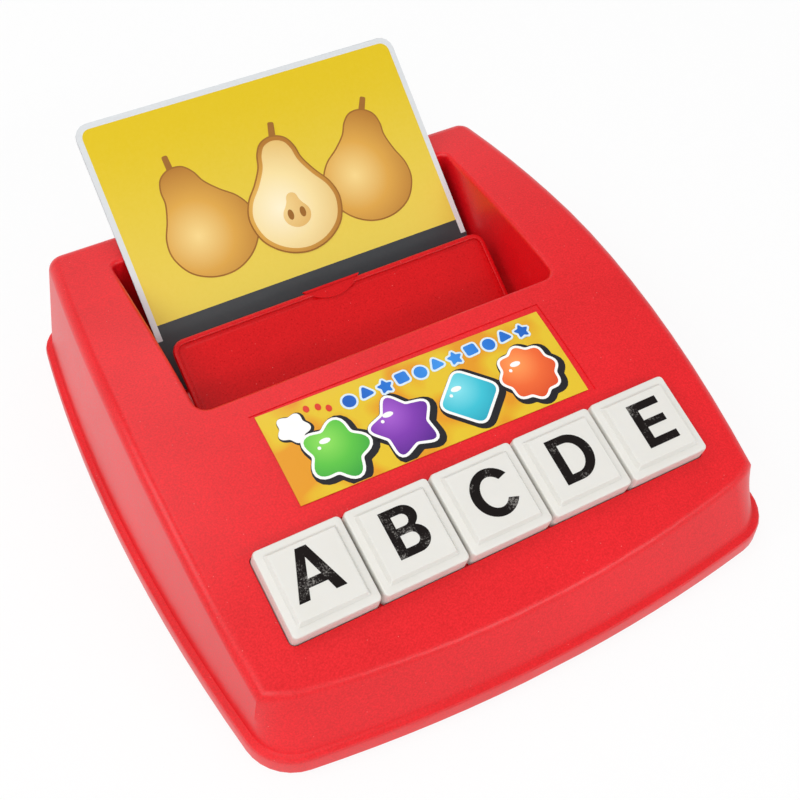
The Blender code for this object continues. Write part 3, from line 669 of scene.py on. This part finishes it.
def moved(points, across, up):
    """The outline moved across and up."""
    return [(x + across, y + up) for x, y in points]


def rounded_outline(corners, radius, steps=6):
    """A closed outline with each corner rounded."""
    count = len(corners)
    points = []
    for k in range(count):
        before, here, after = (Vector(corners[(k + s) % count]) for s in (-1, 0, 1))
        back = (before - here).normalized()
        on = (after - here).normalized()
        half_angle = math.acos(max(-1.0, min(1.0, back.dot(on)))) / 2
        longest = min((before - here).length, (after - here).length) * longest_round_share
        reach = min(radius / math.tan(half_angle), longest)
        start = here + back * reach
        end = here + on * reach
        for n in range(steps + 1):
            t = n / steps
            points.append(tuple(start * (1 - t) ** 2 + here * (2 * t * (1 - t)) + end * t**2))
    return points


def lobes(centre, radius, count, depth, turn=0.0, steps=60):
    """A flower, sun or cloud outline with round lobes."""
    points = []
    for k in range(steps):
        angle = math.tau * k / steps
        reach = radius * (1 + depth * math.cos(count * angle + math.radians(turn)))
        points.append((centre[0] + reach * math.cos(angle), centre[1] + reach * math.sin(angle)))
    return points


def star(centre, radius, inner_share, count, turn):
    """The corners of a star."""
    corners = []
    for k in range(2 * count):
        angle = math.radians(turn) + math.pi * k / count
        reach = radius * (inner_share if k % 2 else 1.0)
        corners.append((centre[0] + reach * math.cos(angle), centre[1] + reach * math.sin(angle)))
    return corners


def ring(centre, reach, steps=28):
    """A closed oval."""
    return bow(centre, reach, 0, 360 - 360 / steps, steps - 1)


film = gloss_film()
label = finished("title_label", "label_film", film)
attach(label, "stand")


def label_print(name, outline, material, level):
    """One flat of ink on the label, at its level over the film."""
    piece = print_piece(
        f"label_{name}",
        [outline],
        on_label,
        material,
        -print_layer,
        level * print_layer,
        label_cell_mm,
    )
    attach(piece, "stand")


def bubble(name, outline, material, margin, shadow):
    """One printed shape: a black shadow that falls to the lower right, a white line and the ink."""
    shade = moved(grown(outline, margin + shadow), *(shadow * share for share in shadow_fall))
    label_print(f"{name}_shadow", shade, black_line, 1)
    label_print(f"{name}_line", grown(outline, margin), white_line, 2)
    label_print(f"{name}_ink", outline, material, 3)


black_line = printed_ink("label_black_line", ("17161A", "222127"))
white_line = printed_ink("label_white_line", ("F4F4F0", "FAFAF8"))

# Name, outline, and the colours of each large shape from its glint outward. A glint lies up and
# to the left of the middle, at these shares of the shape's width and height.
large_shapes = (
    (
        "flower",
        lobes((-33.8, -4.2), radius=9.3, count=5, depth=0.17, turn=20),
        ("8FDC5C", "5CC043", "2F9A3C"),
    ),
    (
        "star",
        rounded_outline(
            star((-10.2, -4.4), radius=12.6, inner_share=0.58, count=5, turn=96), radius=2.4
        ),
        ("A860D0", "7F3AAE", "55208A"),
    ),
    (
        "kite",
        rounded_outline([(14.2, -14.4), (25.2, -3.8), (14.4, 6.8), (3.4, -4.0)], radius=3.0),
        ("86E0EA", "3DBFD2", "1495B0"),
    ),
    (
        "sun",
        lobes((37.4, -3.4), radius=9.4, count=8, depth=0.075, steps=96),
        ("FF9E58", "EE6A34", "D6441E"),
    ),
)
glint_shares = (0.36, 0.72)
glint_reach = (1.9, 0.95)
small_glint_shift = (-2.7, -1.7)
small_glint_reach = (0.6, 0.6)
glint_level = 4
large_margin = 0.95
large_shadow = 1.3
large_fade_mm = 17.0

for name, outline, colours in large_shapes:
    glint = [
        min(values) * (1 - share) + max(values) * share
        for values, share in zip(zip(*outline), glint_shares)
    ]
    small_glint = moved([glint], *small_glint_shift)[0]
    ink = printed_ink(f"label_{name}_ink", colours, on_label(*glint, 0.0), large_fade_mm)
    bubble(name, outline, ink, large_margin, large_shadow)
    label_print(f"{name}_glint", ring(glint, glint_reach), white_line, glint_level)
    small_ring = ring(small_glint, small_glint_reach)
    label_print(f"{name}_small_glint", small_ring, white_line, glint_level)

# The row of small blue shapes, with three red dots and a white cloud at its start.
small_kinds = (
    ring((0.0, 0.0), (2.3, 2.3)),
    rounded_outline([(-2.6, -2.2), (2.7, -1.4), (-0.6, 2.7)], radius=0.8),
    rounded_outline(
        star((0.0, 0.0), radius=3.1, inner_share=0.52, count=5, turn=90), radius=0.5, steps=3
    ),
    rounded_outline([(-2.1, -2.2), (2.3, -1.9), (2.0, 2.1), (-2.3, 1.9)], radius=0.9),
)
small_count = 11
small_start = (-22.5, 10.2)
small_step = (6.6, 0.16)
small_hop = 0.8
small_margin = 0.7
small_line_level = 5
small_ink_level = 6
dot_places = ((-36.4, 13.2), (-32.6, 12.4), (-29.6, 10.6))
dot_reach = (1.0, 1.3)

small_blue = printed_ink(
    "label_small_blue",
    ("3F93E6", "2372D0", "1858B6"),
    middle=on_label(12.0, 11.0, 0.0),
    reach_mm=40.0,
)
small_red = printed_ink("label_small_red", ("E2452E", "D2331F"))
pale_blue_line = printed_ink("label_pale_blue_line", ("CFE4F2", "DCECF6"))
for number in range(small_count):
    across = small_start[0] + small_step[0] * number
    up = small_start[1] + small_step[1] * number + (small_hop if number % 2 else 0.0)
    outline = moved(small_kinds[number % len(small_kinds)], across, up)
    line = grown(outline, small_margin)
    label_print(f"small_{number}_line", line, pale_blue_line, small_line_level)
    label_print(f"small_{number}_ink", outline, small_blue, small_ink_level)
for number, spot in enumerate(dot_places):
    dot = ring(spot, dot_reach, steps=16)
    label_print(f"dot_{number}_ink", dot, small_red, small_ink_level)
cloud = lobes((-43.2, 8.4), radius=4.9, count=5, depth=0.14, turn=90)
bubble("cloud", cloud, white_line, margin=0.1, shadow=0.6)


# Picture card
# A stiff card with round corners, printed and varnished: a white border, a yellow ground with a
# picture of fruit, and a dark strip at its foot, where the flap covers the answer. Behind the flap
# the strip is laid over the white border as painted shade. Its sizes are in millimetres across and
# up the card.

card_origin = Vector((0.0005, 0.041647, 0.0168))
card_up = Vector((0.0, 0.78316, 0.62182))
card_normal = Vector((0.0, -0.62182, 0.78316))
card_thickness_mm = 0.8
card_half_width_mm = 63.1
card_length_mm = 99.5
border_mm = 2.1
ground_radius_mm = 3.4
band_top_mm = 24.6
# The dark strip of painted shade behind the flap: its top, its lower corners' radius and the margin
# it leaves at the card's edges.
painted_shade_top_mm = 19.0
painted_shade_radius_mm = 5.0
edge_left_mm = 0.05
card_roughness = 0.42


def on_card(across, up, rise):
    """A place on the card's face, from millimetres across and up it."""
    spot = card_origin + card_up * (up / 1000) + card_normal * (card_thickness_mm / 1000 + rise)
    return spot + Vector((across / 1000, 0.0, 0.0))


def varnished(name, colour, other_colour, start, end, mottle=0.15):
    """Offset print under a thin varnish, shaded from one place to another along a line."""
    made, tree = new_material(name)
    place = add_node(tree, "ShaderNodeTexCoord").outputs["Object"]
    way = end - start
    away = add_node(tree, "ShaderNodeVectorMath", {0: place, 1: start}, operation="SUBTRACT")
    run = add_node(
        tree,
        "ShaderNodeVectorMath",
        {0: away.outputs[0], 1: way.normalized()},
        operation="DOT_PRODUCT",
    )
    span = (0.0, way.length)
    share = stretched(
        tree, run.outputs["Value"], span, (0.0, 1.0), interpolation_type="SMOOTHSTEP"
    )
    fibre = noise(tree, place, size_mm=1.4, detail=3.0, roughness=0.6)
    cloudy = computed(tree, "MULTIPLY_ADD", fibre, mottle, -mottle / 2)
    tint = mixed(tree, computed(tree, "ADD", share, cloudy), colour, other_colour)
    bump = bumped(tree, fibre, strength=0.3, depth_mm=0.01)
    return surfaced(made, tint, card_roughness, Specular_IOR_Level=0.3, Normal=bump)


def box_outline(left, low, right, high, low_radius=0.0, high_radius=0.0):
    """A rectangle with rounded lower and upper corners."""
    points = []
    for corner, radius, start in (
        ((right, low), low_radius, -90),
        ((right, high), high_radius, 0),
        ((left, high), high_radius, 90),
        ((left, low), low_radius, 180),
    ):
        if radius <= 0:
            points.append(corner)
            continue
        x = corner[0] + (radius if corner[0] == left else -radius)
        y = corner[1] + (radius if corner[1] == low else -radius)
        points += bow((x, y), (radius, radius), start, start + 90, 6)
    return points


def smooth_outline(points, steps=6):
    """A closed smooth curve through points."""
    count = len(points)
    line = []
    for k in range(count):
        a, b, c, d = (Vector(points[(k + s) % count]) for s in (-1, 0, 1, 2))
        for n in range(steps):
            t = n / steps
            spot = (
                b * 2
                + (c - a) * t
                + (a * 2 - b * 5 + c * 4 - d) * t**2
                + (b * 3 - a - c * 3 + d) * t**3
            ) / 2
            line.append(tuple(spot))
    return line


def card_print(name, outlines, material, level):
    """One flat of ink on the card, at its level over the board."""
    piece = print_piece(name, outlines, on_card, material, -print_layer, level * print_layer)
    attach(piece, "card")


white_card = varnished("white_card", "DDE1E2", "D8DCDE", on_card(0, 0, 0), on_card(0, 99, 0))
card = finished("picture_card", "card_sheet", white_card)
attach(card, "card")

half = card_half_width_mm - border_mm
top = card_length_mm - border_mm
yellow = varnished(
    "yellow_ground",
    "E9D053",
    "DFC116",
    on_card(0, band_top_mm, 0),
    on_card(0, top, 0),
    mottle=0.3,
)
# The slate ink serves the printed band and the painted shade behind the flap.
slate = varnished(
    "slate_print_and_painted_shade", "424446", "3A3D40", on_card(-half, 0, 0), on_card(half, 0, 0), mottle=1.2
)
ground = box_outline(-half, band_top_mm, half, top, high_radius=ground_radius_mm)
band = box_outline(-half, border_mm, half, band_top_mm, low_radius=ground_radius_mm)
card_print("card_ground", [ground], yellow, 1)
card_print("card_band", [band], slate, 1)

# Behind the flap the dark strip is run out over the card's white edges as painted shade: it
# stands for the dark gap between the flap and the well.
reach = card_half_width_mm - edge_left_mm
foot = box_outline(-reach, edge_left_mm, reach, painted_shade_top_mm, low_radius=painted_shade_radius_mm)
card_print("card_painted_shade_strip", [foot], slate, 2)

# The picture: two whole pears with a half one in front of them, each shaded as if airbrushed.
pear_side = [
    (4.4, 41.6), (6.8, 38.0), (8.0, 33.4), (11.2, 28.0), (15.4, 22.4), (17.0, 16.0), (14.6, 8.4),
    (8.2, 3.0),
]
pear_outline = (
    [(0.0, 43.0)] + pear_side + [(0.0, 1.0)] + [(-across, up) for across, up in pear_side[::-1]]
)
stem_outline = [(-1.3, 41.0), (1.3, 41.0), (2.6, 48.0), (0.4, 48.4)]
glow_place = (-5.0, 18.0)
core_place = (0.0, 9.5)
core_share = 0.3
seed_place = (2.3, 14.8)
seed_reach = (1.1, 1.9)
stem_round = 0.8
outer_line = 0.55
rind_width = 1.4
skin_fade = 26.0
rind_fade = 24.0
core_fade = 12.0
skin_colours = ("F6D98C", "DDA747", "B1762A")
flesh_colours = ("FDF4D2", "F6E1A2", "E3BC6C")


def leaned(points, centre, size, lean):
    """Points scaled, turned and moved on the card."""
    turn = Matrix.Rotation(math.radians(lean), 2)
    turned = [turn @ (Vector(point) * size) for point in points]
    return [(centre[0] + spot.x, centre[1] + spot.y) for spot in turned]


def pear(name, centre, size, lean, colours, level):
    """A pear with its stem and a brown line round it. Gives back its outline, the place that its
    shading starts from and the brown ink."""
    outline = smooth_outline(leaned(pear_outline, centre, size, lean))
    stem = rounded_outline(leaned(stem_outline, centre, size, lean), stem_round)
    glow = on_card(*leaned([glow_place], centre, size, lean)[0], 0.0)
    brown = printed_ink(f"{name}_line_ink", ("8E5C1E", "A8702A"), roughness=card_roughness)
    fill = printed_ink(f"{name}_ink", colours, glow, skin_fade, card_roughness)
    card_print(f"{name}_stem", [stem], brown, level)
    card_print(f"{name}_line", [grown(outline, outer_line)], brown, level + 1)
    card_print(f"{name}_fill", [outline], fill, level + 2)
    return outline, glow, brown


pear("left_pear", (-26.0, 33.5), size=1.0, lean=14, colours=skin_colours, level=2)
pear("right_pear", (29.0, 34.0), size=1.0, lean=-16, colours=skin_colours, level=2)

# The half pear shows its rind, its pale flesh, the core and two seeds.
centre, size, lean, level = (1.5, 31.0), 1.04, -3, 6
outline, glow, brown = pear("half_pear", centre, size, lean, flesh_colours, level)
rind_ink = printed_ink("half_pear_rind_ink", skin_colours, glow, rind_fade, card_roughness)
card_print("half_pear_rind", [outline, grown(outline, -rind_width)], rind_ink, level + 3)
core_foot = leaned([core_place], centre, size, lean)[0]
core = smooth_outline(leaned(pear_outline, core_foot, size * core_share, lean))
core_colours = ("F3D792", "E2B565")
core_ink = printed_ink("half_pear_core_ink", core_colours, glow, core_fade, card_roughness)
card_print("half_pear_core", [core], core_ink, level + 3)
for number, side in enumerate((-1, 1), 1):
    seed = ring((side * seed_place[0], seed_place[1]), seed_reach, steps=16)
    card_print(
        f"half_pear_seed_{number}", [leaned(seed, centre, size, lean)], brown, level + 4
    )


# Base cover and screws
# The plate that closes the stand from below, moulded in the same ABS, plain and matt inside, with
# six zinc-plated steel screws sunk in its cups.

screw_count = 6

cover_abs = moulded_abs(
    "cover_moulded_abs", "C01D25", "D82F37", roughness=0.45, grain_depth_mm=0.03
)
cover = finished("base_cover", "red_base_cover", cover_abs)
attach(cover, "stand")


def plated_steel():
    """Zinc-plated steel: a bright grey metal with a faintly clouded surface."""
    made, tree = new_material("zinc_plated_steel")
    place = add_node(tree, "ShaderNodeTexCoord").outputs["Object"]
    cloud = noise(tree, place, size_mm=1.2, detail=3.0)
    gloss = stretched(tree, cloud, noise_span, onto=(0.28, 0.42))
    return surfaced(made, mixed(tree, cloud, "A9ABAD", "C6C8CA"), gloss, Metallic=1.0)


zinc = plated_steel()
for number in range(1, screw_count + 1):
    screw = finished(f"base_screw_{number}", f"zinc_screw_{number}", zinc)
    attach(screw, "stand")
